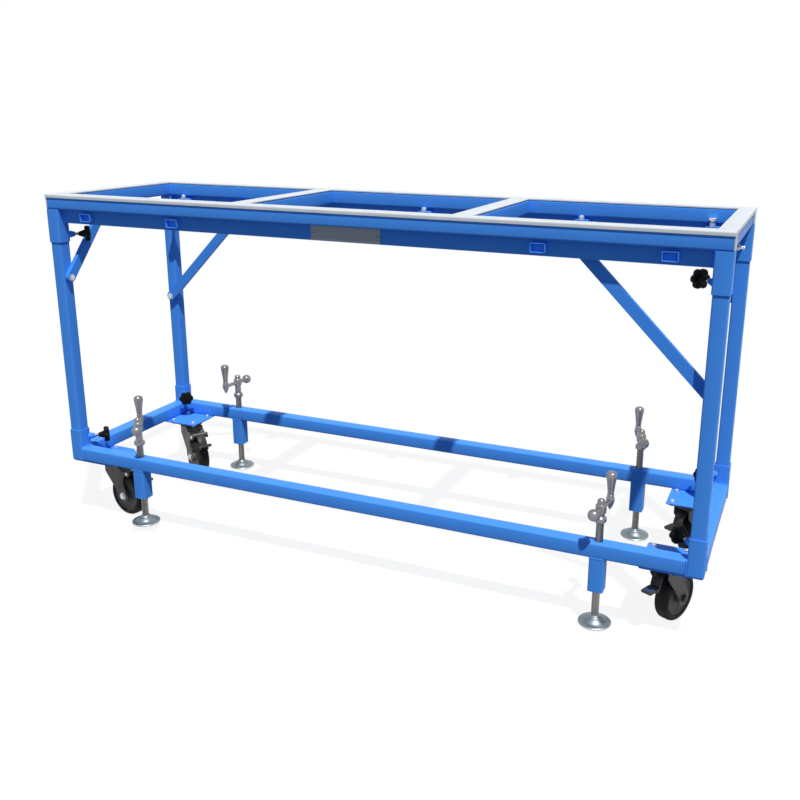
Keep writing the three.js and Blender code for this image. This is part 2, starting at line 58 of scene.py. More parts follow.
# Frame tubes and sheet
TUBE_CORNER = 4.5 * MM
TUBE_WALL = 2 * MM
SOCKET = 40 * MM
SOCKET_WALL = 2.2 * MM
BASE_HEIGHT = 38 * MM
END_WIDTH = 40 * MM
APRON_HEIGHT = 38 * MM
APRON_THICK = 6 * MM
APRON_INSET = 17.5 * MM
SPACER_RADIUS = 12 * MM
LUG_WIDTH = 36 * MM
LUG_HEIGHT = 30 * MM
LUG_THICK = 8 * MM
RECEIVER_SPOTS = {-1: (-786, -497, 497, 786), 1: (-816, -478, 20, 478, 816)}
CLAMP_SPOT = 816
RECEIVER_WIDTH = 36 * MM
RECEIVER_HEIGHT = 23 * MM
RECEIVER_LENGTH = 50 * MM
RECEIVER_PROUD = 11 * MM
RECEIVER_CORNER = 3 * MM
NUT_INSET = 8 * MM
LEG_CORNER = 4 * MM
WELD = 2.4 * MM
STRIP_THICK = 3.7 * MM
STRIP_ROUND = 4 * MM
LIP_THICK = 2 * MM
PLATE_THICK = 4 * MM
CASTER_PLATE = 100 * MM
CASTER_PLATE_THICK = 3 * MM
BOLT_SPREAD = 39 * MM
# Bolts: half width of the hexagon and radius of the washer at the casters, pitch of all fine threads
CASTER_HEXAGON = 5.6 * MM
CASTER_WASHER = 7.4 * MM
WASHER_THICK = 1.8 * MM
FINE_PITCH = 1.25 * MM
# Braces
BRACE_WIDTH = 28 * MM
BRACE_THICK = 12 * MM
# Knobs, measured along the stud from the middle of the leg
TOP_KNOB_Z = 848 * MM
BASE_KNOB_Z = 246 * MM
KNOB_NEAR = 56 * MM
KNOB_RADIUS = 23 * MM
KNOB_NECK = 10 * MM
KNOB_LENGTH = 25 * MM
KNOB_LOBES = 6
LOBE_DEPTH = 4.6 * MM
STUD_RADIUS = 4 * MM
STUD_START = 27 * MM
# Jacks
JACK_TUBE = 37 * MM
JACK_TUBE_CORNER = 4 * MM
JACK_TUBE_WALL = 2.5 * MM
JACK_NUT_RADIUS = 14 * MM
JACK_NUT_HEIGHT = 14 * MM
SCREW_RADIUS = 9.5 * MM
SCREW_PITCH = 4 * MM
COLLAR_HEIGHT = {"fl": 247, "fr": 271, "rl": 253, "rr": 272}
ARM_HEIGHT = 297 * MM
BALL_REACH = 43 * MM
BALL_RADIUS = 14.5 * MM
GRIP_REACH = 57 * MM
CRANK_AZIMUTH = {"fl": 125, "fr": 80.6, "rl": 262, "rr": 110}
# Casters
WHEEL_RADIUS = 63.5 * MM
WHEEL_WIDTH = 36 * MM
TYRE_DEPTH = 17 * MM
TYRE_ROUND = 10 * MM
FORK_INSIDE = 46 * MM
FORK_THICK = 4 * MM
FORK_BACK = 27 * MM
FORK_FRONT = 32 * MM
HUB_LOBE = 20 * MM
PIN_EDGE = 9.5 * MM
CROWN_DROP = 17.5 * MM
CROWN_THICK = 4 * MM
ROLL = (37 * MM, 143 * MM)
ROLL_RADIUS = 8 * MM
GUARD_OUTER = 10 * MM
GUARD_INNER = 7.8 * MM
# Pedals: depth of the bend, reach, slope and width of the foot
PEDAL_OVER = (0.62, 64, 0.48, 34)
PEDAL_AHEAD = (0.72, 71, 0, 28)
FOOT_START = 37
FOOT_THICK = 8 * MM
FOOT_RIBS = 5
PEDAL_WIDTH = 26 * MM
# Camera and light
CAMERA_SPOT = Vector((1.0743, -2.2080, 1.2010))
CAMERA_YAW = 0.3964
CAMERA_PITCH = -0.2747
CAMERA_ROLL = -0.0069
CAMERA_LENS = 41.34
CAMERA_SHIFT = (-0.0452, -0.0437)
SUN_AZIMUTH = 39.4
SUN_ELEVATION = 64.5
SUN_STRENGTH = 3.3
SUN_SIZE = 1.2
SUN_COLOUR = (1.0, 0.99, 0.97)
FILL_COLOUR = (0.36, 0.58, 1.0, 1)
FILL_STRENGTH = 0.34
FLOOR_HALF = 60
FLOOR_SHADE = 0.16
FLOOR_PALE = 0.9
FLOOR_GLOW = 0.9


# Outlines, lists of (across, up) points that run counter-clockwise

def rounded(width, height, radius, steps=4):
    """Rectangle with round corners, about the origin."""
    outline = []
    for corner, (sx, sy) in enumerate(((1, 1), (-1, 1), (-1, -1), (1, -1))):
        centre = (sx * (width / 2 - radius), sy * (height / 2 - radius))
        for step in range(steps + 1):
            angle = math.pi / 2 * (corner + step / steps)
            outline.append((centre[0] + radius * math.cos(angle), centre[1] + radius * math.sin(angle)))
    return outline


def circle(radius, count):
    turn = 2 * math.pi / count
    return [(radius * math.cos(i * turn), radius * math.sin(i * turn)) for i in range(count)]


def arc(centre, radius, first, last, steps):
    """Points of an arc, its angles in degrees."""
    points = []
    for i in range(steps + 1):
        angle = math.radians(first + (last - first) * i / steps)
        points.append((centre[0] + radius * math.cos(angle), centre[1] + radius * math.sin(angle)))
    return points


def ring(centre, across, up, outline):
    """The outline in space, with its own axes along across and up."""
    return [centre + across * x + up * y for x, y in outline]


def in_mm(points):
    """Points of a profile or outline that are written in millimetres."""
    return [(first * MM, second * MM) for first, second in points]


# Mesh code

def skin(bm, rings, loop=False):
    """Skin rings of equal count. A loop joins the last ring to the first, else both ends are capped."""
    rows = [[bm.verts.new(point) for point in points] for points in rings]
    count = len(rows[0])
    pairs = list(zip(rows, rows[1:]))
    if loop:
        pairs.append((rows[-1], rows[0]))
    for low, high in pairs:
        for i in range(count):
            j = (i + 1) % count
            bm.faces.new((low[i], low[j], high[j], high[i]))
    if not loop:
        bm.faces.new(list(reversed(rows[0])))
        bm.faces.new(rows[-1])


def axes(direction):
    """Two axes square to a direction."""
    along = direction.normalized()
    helper = UP if abs(along.z) < 0.9 else Vector((1, 0, 0))
    across = helper.cross(along).normalized()
    return across, along.cross(across)


def tube(bm, start, end, width, height, across, radius=TUBE_CORNER, wall=TUBE_WALL, edge=0.4 * MM):
    """Hollow rectangular tube with round corners and eased ends. Its width lies along across."""
    along = (end - start).normalized()
    up = along.cross(across)
    outer = rounded(width, height, radius)
    eased = rounded(width - 2 * edge, height - 2 * edge, radius - edge)
    bore = rounded(width - 2 * wall, height - 2 * wall, max(radius - wall, 0.8 * MM))
    skin(bm, [
        ring(start, across, up, eased),
        ring(start + along * edge, across, up, outer),
        ring(end - along * edge, across, up, outer),
        ring(end, across, up, eased),
        ring(end, across, up, bore),
        ring(start, across, up, bore),
    ], loop=True)


def box_tube(bm, low, high, axis, radius=TUBE_CORNER, wall=TUBE_WALL):
    """Tube that fills a box and runs along one axis."""
    centre = (low + high) / 2
    start, end = centre.copy(), centre.copy()
    start[axis], end[axis] = low[axis], high[axis]
    across = Vector((0, 0, 0))
    side = (axis + 1) % 3
    across[side] = 1
    size = high - low
    tube(bm, start, end, size[side], size[(axis + 2) % 3], across, radius, wall)


def bar(bm, start, end, width, height, across, radius, edge):
    """Solid bar with round corners and eased ends."""
    along = (end - start).normalized()
    up = along.cross(across)
    outer = rounded(width, height, radius)
    eased = rounded(width - 2 * edge, height - 2 * edge, max(radius - edge, 0.2 * MM))
    skin(bm, [
        ring(start, across, up, eased),
        ring(start + along * edge, across, up, outer),
        ring(end - along * edge, across, up, outer),
        ring(end, across, up, eased),
    ])


def box_bar(bm, low, high, axis, radius, edge):
    """Solid bar that fills a box and runs along one axis."""
    centre = (low + high) / 2
    start, end = centre.copy(), centre.copy()
    start[axis], end[axis] = low[axis], high[axis]
    across = Vector((0, 0, 0))
    side = (axis + 1) % 3
    across[side] = 1
    size = high - low
    bar(bm, start, end, size[side], size[(axis + 2) % 3], across, radius, edge)


def turned(bm, origin, axis, profile, count):
    """Solid of revolution from (radius, distance along the axis) pairs, capped at both ends."""
    across, up = axes(axis)
    along = axis.normalized()
    skin(bm, [ring(origin + along * t, across, up, circle(max(r, 0.05 * MM), count)) for r, t in profile])


def turned_ring(bm, origin, axis, profile, count):
    """Solid of revolution whose profile closes on itself."""
    across, up = axes(axis)
    along = axis.normalized()
    skin(bm, [ring(origin + along * t, across, up, circle(r, count)) for r, t in profile], loop=True)


def sphere(bm, centre, radius, axis):
    turned(bm, centre, axis, arc((0, 0), radius, -89, 89, 14), 24)


def weld(bm, points, size=WELD):
    """Bead along straight runs between points, with ripples at its own pitch."""
    for start, end in zip(points, points[1:]):
        run = end - start
        across, up = axes(run)
        count = max(4, round(run.length / size))
        rings = []
        for i in range(count + 1):
            bulge = size * (0.82 + 0.18 * (i % 2)) * (0.55 if i in (0, count) else 1)
            rings.append(ring(start + run * (i / count), across, up, circle(bulge, 8)))
        skin(bm, rings)


def bolt(bm, seat, axis, size, height, washer, tail=0):
    """Hexagon head on a washer, and the end of the thread standing on it where tail is given."""
    turned(bm, seat, axis, [(washer - 0.4 * MM, 0), (washer, 0.4 * MM), (washer, 1.4 * MM),
                            (washer - 0.6 * MM, WASHER_THICK)], 28)
    top = WASHER_THICK + height
    turned(bm, seat, axis, [(size, 1.7 * MM), (size, top - 0.8 * MM), (size * 0.84, top)], 6)
    if tail:
        thread(bm, seat + axis * (top - 0.5 * MM), axis, size * 0.55, tail, FINE_PITCH)


def thread(bm, origin, axis, radius, length, pitch, count=20, steps=6):
    """Round bar whose surface rises and falls along a helix."""
    across, up = axes(axis)
    along = axis.normalized()
    depth = pitch * 0.14
    rows = max(4, round(length / pitch * steps))
    rings = []
    for row in range(rows + 1):
        height = length * row / rows
        points = []
        for i in range(count):
            phase = (height / pitch - i / count) % 1
            r = radius - depth * abs(2 * phase - 1)
            angle = 2 * math.pi * i / count
            points.append((r * math.cos(angle), r * math.sin(angle)))
        rings.append(ring(origin + along * height, across, up, points))
    skin(bm, rings)


def plate(bm, outline, origin, across, up, thick, edge=0.6 * MM):
    """Flat plate of any outline, eased on both faces. It grows along across x up."""
    along = across.cross(up)
    middle = (sum(x for x, _ in outline) / len(outline), sum(y for _, y in outline) / len(outline))

    def inset(points):
        shrunk = []
        for x, y in points:
            reach = math.hypot(x - middle[0], y - middle[1])
            keep = (reach - edge) / reach
            shrunk.append((middle[0] + (x - middle[0]) * keep, middle[1] + (y - middle[1]) * keep))
        return shrunk

    eased = inset(outline)
    skin(bm, [
        ring(origin, across, up, eased),
        ring(origin + along * edge, across, up, outline),
        ring(origin + along * (thick - edge), across, up, outline),
        ring(origin + along * thick, across, up, eased),
    ])


def piece(name, bm, material, body, replaced=()):
    """Turn a finished bmesh into a piece that rides on a body."""
    bmesh.ops.recalc_face_normals(bm, faces=bm.faces)
    data = bpy.data.meshes.new(name)
    bm.to_mesh(data)
    bm.free()
    data.shade_smooth()
    data.set_sharp_from_angle(angle=math.radians(SHARP_ANGLE))
    data.materials.append(material)
    obj = bpy.data.objects.new(name, data)
    bpy.context.scene.collection.objects.link(obj)
    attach(obj, body)
    if replaced:
        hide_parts(*replaced)


# Materials

class Looks:
    """A principled material whose nodes are added by short calls."""

    def __init__(self, name):
        self.material = bpy.data.materials.new(name)
        self.material.use_nodes = True
        self.tree = self.material.node_tree
        self.shader = self.tree.nodes["Principled BSDF"]
        self.place = self.tree.nodes.new("ShaderNodeTexCoord").outputs["Object"]

    def link(self, source, target):
        self.tree.links.new(source, target)

    def noise(self, scale, detail=3, stretch=None):
        node = self.tree.nodes.new("ShaderNodeTexNoise")
        node.inputs["Scale"].default_value = scale
        node.inputs["Detail"].default_value = detail
        place = self.place
        if stretch:
            mapping = self.tree.nodes.new("ShaderNodeMapping")
            mapping.inputs["Scale"].default_value = stretch
            self.link(place, mapping.inputs["Vector"])
            place = mapping.outputs["Vector"]
        self.link(place, node.inputs["Vector"])
        return node.outputs["Fac"]

    def ramp(self, source, *stops):
        """Colour between two stops, each a (position, colour) pair."""
        node = self.tree.nodes.new("ShaderNodeValToRGB")
        for element, (position, colour) in zip(node.color_ramp.elements, stops):
            element.position = position
            element.color = colour
        self.link(source, node.inputs["Fac"])
        return node.outputs["Color"]

    def span(self, source, low, high, start=0.3, end=0.7):
        """A value from start to end spread over low to high."""
        node = self.tree.nodes.new("ShaderNodeMapRange")
        node.inputs["From Min"].default_value = start
        node.inputs["From Max"].default_value = end
        node.inputs["To Min"].default_value = low
        node.inputs["To Max"].default_value = high
        self.link(source, node.inputs["Value"])
        return node.outputs["Result"]

    def mix(self, share, first, second):
        """From a linked colour to a fixed one."""
        node = self.tree.nodes.new("ShaderNodeMix")
        node.data_type = "RGBA"
        self.link(share, node.inputs["Factor"])
        self.link(first, node.inputs["A"])
        node.inputs["B"].default_value = second
        return node.outputs["Result"]

    def edges(self, start=0.52, end=0.62):
        """How far a point stands out on a convex edge, from 0 to 1."""
        node = self.tree.nodes.new("ShaderNodeNewGeometry")
        return self.span(node.outputs["Pointiness"], 0, 1, start, end)

    def bump(self, height, strength, distance):
        node = self.tree.nodes.new("ShaderNodeBump")
        node.inputs["Strength"].default_value = strength
        node.inputs["Distance"].default_value = distance
        self.link(height, node.inputs["Height"])
        self.link(node.outputs["Normal"], self.shader.inputs["Normal"])

    def colour(self, source):
        self.link(source, self.shader.inputs["Base Color"])

    def rough(self, source):
        self.link(source, self.shader.inputs["Roughness"])

    def set(self, **values):
        for name, value in values.items():
            self.shader.inputs[name.replace("_", " ")].default_value = value


def grey(value):
    return (value, value, value, 1)


def powder_coat():
    """Satin blue powder coat: orange peel, faint clouding, lighter corners that are partly thin paint and
    partly a painted highlight.
    """
    looks = Looks("blue_powder_coat")
    cloud = looks.ramp(looks.noise(5, 4), (0.3, (0.052, 0.284, 0.87, 1)), (0.7, (0.062, 0.307, 0.92, 1)))
    # Corners are mixed to a lighter blue: thin paint there, and a painted highlight along the edges.
    lighter_edges = looks.mix(looks.edges(), cloud, (0.10, 0.36, 0.94, 1))
    looks.colour(lighter_edges)
    looks.rough(looks.span(looks.noise(14, 3), 0.34, 0.44))
    looks.bump(looks.noise(750, 2), 0.10, 0.3 * MM)
    looks.set(Specular_IOR_Level=0.06)
    return looks.material


def polyethylene():
    """White machined polyethylene: fine feed marks and light scuffs."""
    looks = Looks("white_polyethylene")
    scuff = looks.ramp(looks.noise(26, 6), (0.35, (0.69, 0.705, 0.70, 1)), (0.62, (0.74, 0.755, 0.745, 1)))
    looks.colour(scuff)
    looks.rough(looks.span(looks.noise(60, 5), 0.42, 0.58))
    looks.bump(looks.noise(420, 3, (0.06, 1, 1)), 0.12, 0.15 * MM)
    looks.set(Specular_IOR_Level=0.35)
    return looks.material


def black_plastic():
    """Moulded black plastic with a fine spark-eroded grain."""
    looks = Looks("black_moulded_plastic")
    looks.colour(looks.ramp(looks.noise(30, 4), (0.3, grey(0.004)), (0.7, grey(0.008))))
    looks.rough(looks.span(looks.noise(80, 3), 0.5, 0.64))
    looks.bump(looks.noise(1600, 2), 0.2, 0.12 * MM)
    looks.set(Specular_IOR_Level=0.1)
    return looks.material


def fork_steel(name, tone, tint=(1, 1, 1)):
    """Dark plated pressed steel, clouded, with brighter edges."""
    looks = Looks(name)
    shades = []
    for colour in ((0.105, 0.092, 0.076), (0.15, 0.134, 0.112), (0.24, 0.225, 0.2)):
        shades.append(tuple(tone * part * share for part, share in zip(colour, tint)) + (1,))
    dull, fair, lighter_edges = shades
    looks.colour(looks.mix(looks.edges(), looks.ramp(looks.noise(40, 5), (0.3, dull), (0.7, fair)), lighter_edges))
    looks.rough(looks.span(looks.noise(55, 4), 0.34, 0.5))
    looks.bump(looks.noise(300, 4), 0.08, 0.2 * MM)
    looks.set(Metallic=0.15, Specular_IOR_Level=0.2)
    return looks.material


def tyre_rubber():
    """Black rubber with dusty patches."""
    looks = Looks("black_tyre_rubber")
    fresh, dusty = (0.012, 0.0115, 0.011, 1), (0.034, 0.032, 0.029, 1)
    looks.colour(looks.ramp(looks.noise(35, 6), (0.35, fresh), (0.72, dusty)))
    looks.rough(looks.span(looks.noise(50, 4), 0.55, 0.75))
    looks.bump(looks.noise(900, 3), 0.18, 0.2 * MM)
    looks.set(Specular_IOR_Level=0.15)
    return looks.material


def hub_plastic():
    """Grey moulded wheel centre."""
    looks = Looks("grey_wheel_centre")
    low, high = (0.115, 0.108, 0.098, 1), (0.155, 0.147, 0.135, 1)
    looks.colour(looks.ramp(looks.noise(45, 5), (0.3, low), (0.7, high)))
    looks.rough(looks.span(looks.noise(70, 3), 0.42, 0.6))
    looks.bump(looks.noise(1100, 2), 0.12, 0.15 * MM)
    looks.set(Specular_IOR_Level=0.2)
    return looks.material


def zinc(name, low, high, dull=0.3, streak_stretch=(1, 1, 1)):
    """Zinc plating: cool grey with clouds, and a faint grain. Stretched along a bar, the clouds turn to
    streaks, which on the screw steel are painted reflections.
    """
    looks = Looks(name)
    cloud = looks.ramp(looks.noise(28, 5, streak_stretch), (0.3, low), (0.7, high))
    looks.colour(looks.mix(looks.edges(), cloud, (0.62, 0.66, 0.69, 1)))
    looks.rough(looks.span(looks.noise(60, 4), dull - 0.06, dull + 0.06))
    looks.bump(looks.noise(500, 3), 0.05, 0.12 * MM)
    looks.set(Metallic=0.9)
    return looks.material


def polished_steel():
    """Turned and polished steel with fine rings left by the tool."""
    looks = Looks("polished_turned_steel")
    low, high = (0.21, 0.205, 0.215, 1), (0.30, 0.293, 0.305, 1)
    looks.colour(looks.ramp(looks.noise(35, 4), (0.3, low), (0.7, high)))
    looks.rough(looks.span(looks.noise(120, 3), 0.26, 0.36))
    looks.bump(looks.noise(900, 2, (0.15, 0.15, 1)), 0.03, 0.1 * MM)
    looks.set(Metallic=0.85)
    return looks.material


def bare_aluminium():
    """Brushed sheet, the brush marks running along the length."""
    looks = Looks("brushed_aluminium")
    marks = looks.noise(300, 4, (0.02, 1, 1))
    looks.colour(looks.ramp(marks, (0.3, (0.10, 0.122, 0.16, 1)), (0.7, (0.145, 0.172, 0.22, 1))))
    looks.rough(looks.span(marks, 0.38, 0.52))
    looks.bump(marks, 0.1, 0.1 * MM)
    looks.set(Metallic=0.5)
    return looks.material


BLUE = powder_coat()
WHITE = polyethylene()
BLACK = black_plastic()
FORK = fork_steel("plated_fork_steel", 0.85)
PEDAL = fork_steel("dark_pedal_steel", 0.3)
RUBBER = tyre_rubber()
HUB = hub_plastic()
ZINC = zinc("zinc_plate", (0.18, 0.22, 0.25, 1), (0.27, 0.31, 0.34, 1), 0.42)
BRIGHT = zinc("bright_zinc", (0.66, 0.69, 0.71, 1), (0.78, 0.81, 0.83, 1))
FASTENER = zinc("zinc_fastener", (0.50, 0.54, 0.58, 1), (0.62, 0.66, 0.70, 1))
PALE = zinc("pale_plated_bolts", (0.16, 0.30, 0.60, 1), (0.22, 0.38, 0.70, 1), 0.5)
# Screw steel: strong dark and light streaks along the rod, painted reflections of a polished rod.
SCREW = zinc("screw_steel_painted_streaks", (0.03, 0.028, 0.026, 1), (0.25, 0.24, 0.23, 1), 0.3, (5, 5, 0.12))
# Pedal steel tinted lighter and blue-grey: a painted reflection of the sky on a foot's top, given to the
# front right foot only.
FOOT_PAINTED_SKY_REFLECTION = fork_steel("foot_steel_painted_sky_reflection", 0.5, (0.55, 1, 2.2))
STEEL = polished_steel()
ALUMINIUM = bare_aluminium()


# Where things are

def leg_spot(tag):
    low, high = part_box(f"leg_{tag}")
    return (low + high) / 2


BASE_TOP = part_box("base_rail_front")[1].z
BASE_BOTTOM = BASE_TOP - BASE_HEIGHT
BASE_SOCKET_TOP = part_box("base_end_left")[1].z
RAIL_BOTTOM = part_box("top_rail_front")[0].z
TOP_SOCKET_BOTTOM, TOP_SOCKET_TOP = (corner.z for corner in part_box("apron_front"))
HALF_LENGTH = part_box("strip_front")[1].x
HALF_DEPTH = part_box("strip_rear")[1].y
JOINTS = {joint["name"]: joint for joint in frame["joints"]}


def square(centre, size, z0, z1):
    """Opposite corners of an upright square post."""
    half = Vector((size / 2, size / 2, 0))
    low = Vector((centre.x, centre.y, z0)) - half
    high = Vector((centre.x, centre.y, z1)) + half
    return low, high


def socket(bm, tag, z0, z1, knob_z):
    """Leg socket with the welded nut of its knob."""
    spot = leg_spot(tag)
    box_tube(bm, *square(spot, SOCKET, z0, z1), 2, TUBE_CORNER, SOCKET_WALL)
    out = Vector((-CORNERS[tag][0], -CORNERS[tag][1], 0)).normalized()
    seat = Vector((spot.x, spot.y, knob_z))
    boss = [(9.4, 22), (9.4, 30), (6.6, 40), (6, 41), (4.3, 41), (4.3, 22)]
    turned_ring(bm, seat, out, in_mm(boss), 28)


# Top frame

def top_frame():
    for side in ("front", "rear"):
        bm = bmesh.new()
        box_tube(bm, *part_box(f"top_rail_{side}"), 0)
        piece(f"upper_rail_{side}", bm, BLUE, "frame", [f"top_rail_{side}"])
    for side in ("left", "right"):
        bm = bmesh.new()
        low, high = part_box(f"top_end_{side}")
        low.z = RAIL_BOTTOM
        box_tube(bm, low, high, 1)
        lug(bm, side)
        piece(f"upper_end_{side}", bm, BLUE, "frame", [f"top_end_{side}"])
        bm = bmesh.new()
        box_tube(bm, *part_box(f"cross_bar_{side}"), 1)
        piece(f"cross_tube_{side}", bm, BLUE, "frame", [f"cross_bar_{side}"])


def lug(bm, side):
    """Tab under the end rail that takes the short brace's upper bolt."""
    tag = "rr" if side == "right" else "fl"
    sx = CORNERS[tag][0]
    out = Vector((sx, 0, 0))
    top_bolt = short_brace_ends(tag)[1]
    height = RAIL_BOTTOM + 1 * MM - top_bolt.z
    outline = [(x, y if y < 0 else height) for x, y in rounded(LUG_WIDTH, LUG_HEIGHT, 8 * MM)]
    plate(bm, outline, top_bolt + out * GAP, Vector((0, sx, 0)), UP, LUG_THICK)
    nut = bmesh.new()
    bolt(nut, top_bolt + out * (GAP + LUG_THICK), out, 8 * MM, 7 * MM, 11 * MM, tail=12 * MM)
    piece(f"lug_nut_{side}", nut, FASTENER, "frame")


def strips():
    """White strips: plain ones on the cross bars, and outer ones with a lip and a round upper edge."""
    for side, sx, sy in (("front", 0, -1), ("rear", 0, 1), ("left", -1, 0), ("right", 1, 0)):
        low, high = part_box(f"strip_{side}")
        width = high.y - low.y if sy else high.x - low.x
        drop = high.z - low.z
        under = drop - STRIP_THICK
        outline = [(width - LIP_THICK, 0), (width - 0.5 * MM, 0), (width, 0.5 * MM)]
        outline += arc((width - STRIP_ROUND, drop - STRIP_ROUND), STRIP_ROUND, 0, 90, 8)
        outline += arc((1 * MM, drop - 1 * MM), 1 * MM, 90, 180, 3)
        outline += [(0, under), (width - LIP_THICK, under)]
        out = Vector((sx, sy, 0))
        start, end = low.copy(), high.copy()
        if sy:
            start.y = end.y = low.y if sy > 0 else high.y
        else:
            start.x = end.x = low.x if sx > 0 else high.x
        end.z = start.z
        bm = bmesh.new()
        skin(bm, [ring(start, out, UP, outline), ring(end, out, UP, outline)])
        piece(f"white_strip_{side}", bm, WHITE, "frame", [f"strip_{side}"])
    for side in ("left", "right"):
        bm = bmesh.new()
        box_bar(bm, *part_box(f"strip_cross_{side}"), 1, 1.2 * MM, 0.6 * MM)
        piece(f"white_strip_cross_{side}", bm, WHITE, "frame", [f"strip_cross_{side}"])
    for tag in CORNERS:
        bm = bmesh.new()
        box_bar(bm, *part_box(f"rail_cap_{tag}"), 0, 2.5 * MM, 0.6 * MM)
        piece(f"white_cap_{tag}", bm, WHITE, "frame", [f"rail_cap_{tag}"])


def aprons():
    for side, sy in (("front", -1), ("rear", 1)):
        bm = bmesh.new()
        outer = sy * (HALF_DEPTH - APRON_INSET)
        inner = outer - sy * APRON_THICK
        edge = leg_spot("fr").x - SOCKET / 2
        low = Vector((-edge, min(outer, inner), TOP_SOCKET_TOP - APRON_HEIGHT))
        high = Vector((edge, max(outer, inner), TOP_SOCKET_TOP))
        box_bar(bm, low, high, 0, 1.4 * MM, 0.6 * MM)
        bolted = long_brace_ends("fr" if sy < 0 else "rl")[1]
        spacer = Vector((bolted.x, inner, bolted.z))
        reach = (bolted - spacer).length
        turned(bm, spacer, bolted - spacer, [(SPACER_RADIUS, -1 * MM), (SPACER_RADIUS, reach)], 28)
        for tag in CORNERS:
            if CORNERS[tag][1] == sy:
                socket(bm, tag, TOP_SOCKET_BOTTOM, TOP_SOCKET_TOP, TOP_KNOB_Z)
                x = CORNERS[tag][0] * edge
                for y in (low.y, high.y):
                    weld(bm, [Vector((x, y, low.z)), Vector((x, y, high.z))])
                weld(bm, [Vector((x, low.y, low.z)), Vector((x, high.y, low.z))])
        receivers(bm, sy, outer, (low.z + high.z) / 2)
        piece(f"apron_tube_{side}", bm, BLUE, "frame", [f"apron_{side}"])
        set_nuts(side, sy, outer, (low.z + high.z) / 2)


def receivers(bm, sy, outer, z):
    """Short tubes through the apron, each with a weld round it."""
    mouth = outer + sy * RECEIVER_PROUD
    back = mouth - sy * RECEIVER_LENGTH
    for spot in RECEIVER_SPOTS[sy]:
        x = spot * MM
        start, end = Vector((x, mouth, z)), Vector((x, back, z))
        tube(bm, start, end, RECEIVER_WIDTH, RECEIVER_HEIGHT, Vector((1, 0, 0)), RECEIVER_CORNER)
        half_w, half_h = RECEIVER_WIDTH / 2, RECEIVER_HEIGHT / 2
        corner = [Vector((x - half_w, outer, z - half_h)), Vector((x + half_w, outer, z - half_h)),
                  Vector((x + half_w, outer, z + half_h)), Vector((x - half_w, outer, z + half_h))]
        weld(bm, corner + corner[:1], 1.6 * MM)


def set_nuts(side, sy, outer, z):
    """Domed nut for a clamp bolt on the inner end of each receiver. One bolt is in, at the rear right."""
    bm = bmesh.new()
    y = outer + sy * (RECEIVER_PROUD - RECEIVER_LENGTH + NUT_INSET)
    dome = [(8, 0), (8, 9), (7.2, 11), (5, 12.6), (2, 13.4)]
    for spot in RECEIVER_SPOTS[sy]:
        seat = Vector((spot * MM, y, z + RECEIVER_HEIGHT / 2 - 0.5 * MM))
        turned(bm, seat, UP, in_mm(dome), 28)
        if spot == CLAMP_SPOT and sy > 0:
            clamp_bolt(seat)
    piece(f"set_nuts_{side}", bm, PALE, "frame")


def clamp_bolt(seat):
    """Thread and round head that stand on the nut."""
    bm = bmesh.new()
    thread(bm, seat + UP * 12 * MM, UP, 5 * MM, 6 * MM, FINE_PITCH)
    head = [(7, 16), (11.4, 16.6), (12, 17.4), (12, 21), (11, 22.6), (7, 23.4)]
    turned(bm, seat, UP, in_mm(head), 28)
    piece("clamp_bolt", bm, BRIGHT, "frame")


def name_plate():
    low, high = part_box("name_plate")
    bm = bmesh.new()
    size = high - low
    centre = (low + high) / 2
    plate(bm, rounded(size.x, size.z, 3 * MM), Vector((centre.x, high.y, centre.z)), Vector((1, 0, 0)), UP,
          size.y, 0.3 * MM)
    for sx in (-1, 1):
        rivet = Vector((centre.x + sx * (size.x / 2 - 6 * MM), low.y, centre.z))
        turned(bm, rivet, Vector((0, -1, 0)), arc((0, 0), 2.2 * MM, 0, 85, 5), 16)
    piece("bare_plate", bm, ALUMINIUM, "frame", ["name_plate"])


# Legs and base frame

def legs():
    for tag in CORNERS:
        bm = bmesh.new()
        box_tube(bm, *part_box(f"leg_{tag}"), 2, LEG_CORNER)
        piece(f"leg_tube_{tag}", bm, BLUE, "frame", [f"leg_{tag}"])


def base_ends():
    for side, sx in (("left", -1), ("right", 1)):
        bm = bmesh.new()
        edge = abs(leg_spot("fr").y) - SOCKET / 2
        outer, inner = sx * HALF_LENGTH, sx * (HALF_LENGTH - END_WIDTH)
        low = Vector((min(outer, inner), -edge, BASE_BOTTOM))
        high = Vector((max(outer, inner), edge, BASE_TOP))
        box_tube(bm, low, high, 1)
        steel = bmesh.new()
        bolts = bmesh.new()
        for tag in CORNERS:
            if CORNERS[tag][0] == sx:
                sy = CORNERS[tag][1]
                socket(bm, tag, BASE_BOTTOM, BASE_SOCKET_TOP, BASE_KNOB_Z)
                y = sy * edge
                for x in (low.x, high.x):
                    weld(bm, [Vector((x, y, low.z)), Vector((x, y, high.z))])
                weld(bm, [Vector((low.x, y, high.z)), Vector((high.x, y, high.z))])
                mounting_plate(bm, steel, bolts, tag)
        piece(f"base_end_tube_{side}", bm, BLUE, "frame", [f"base_end_{side}"])
        piece(f"caster_plates_{side}", steel, FORK, "frame")
        piece(f"caster_bolts_{side}", bolts, PALE, "frame")


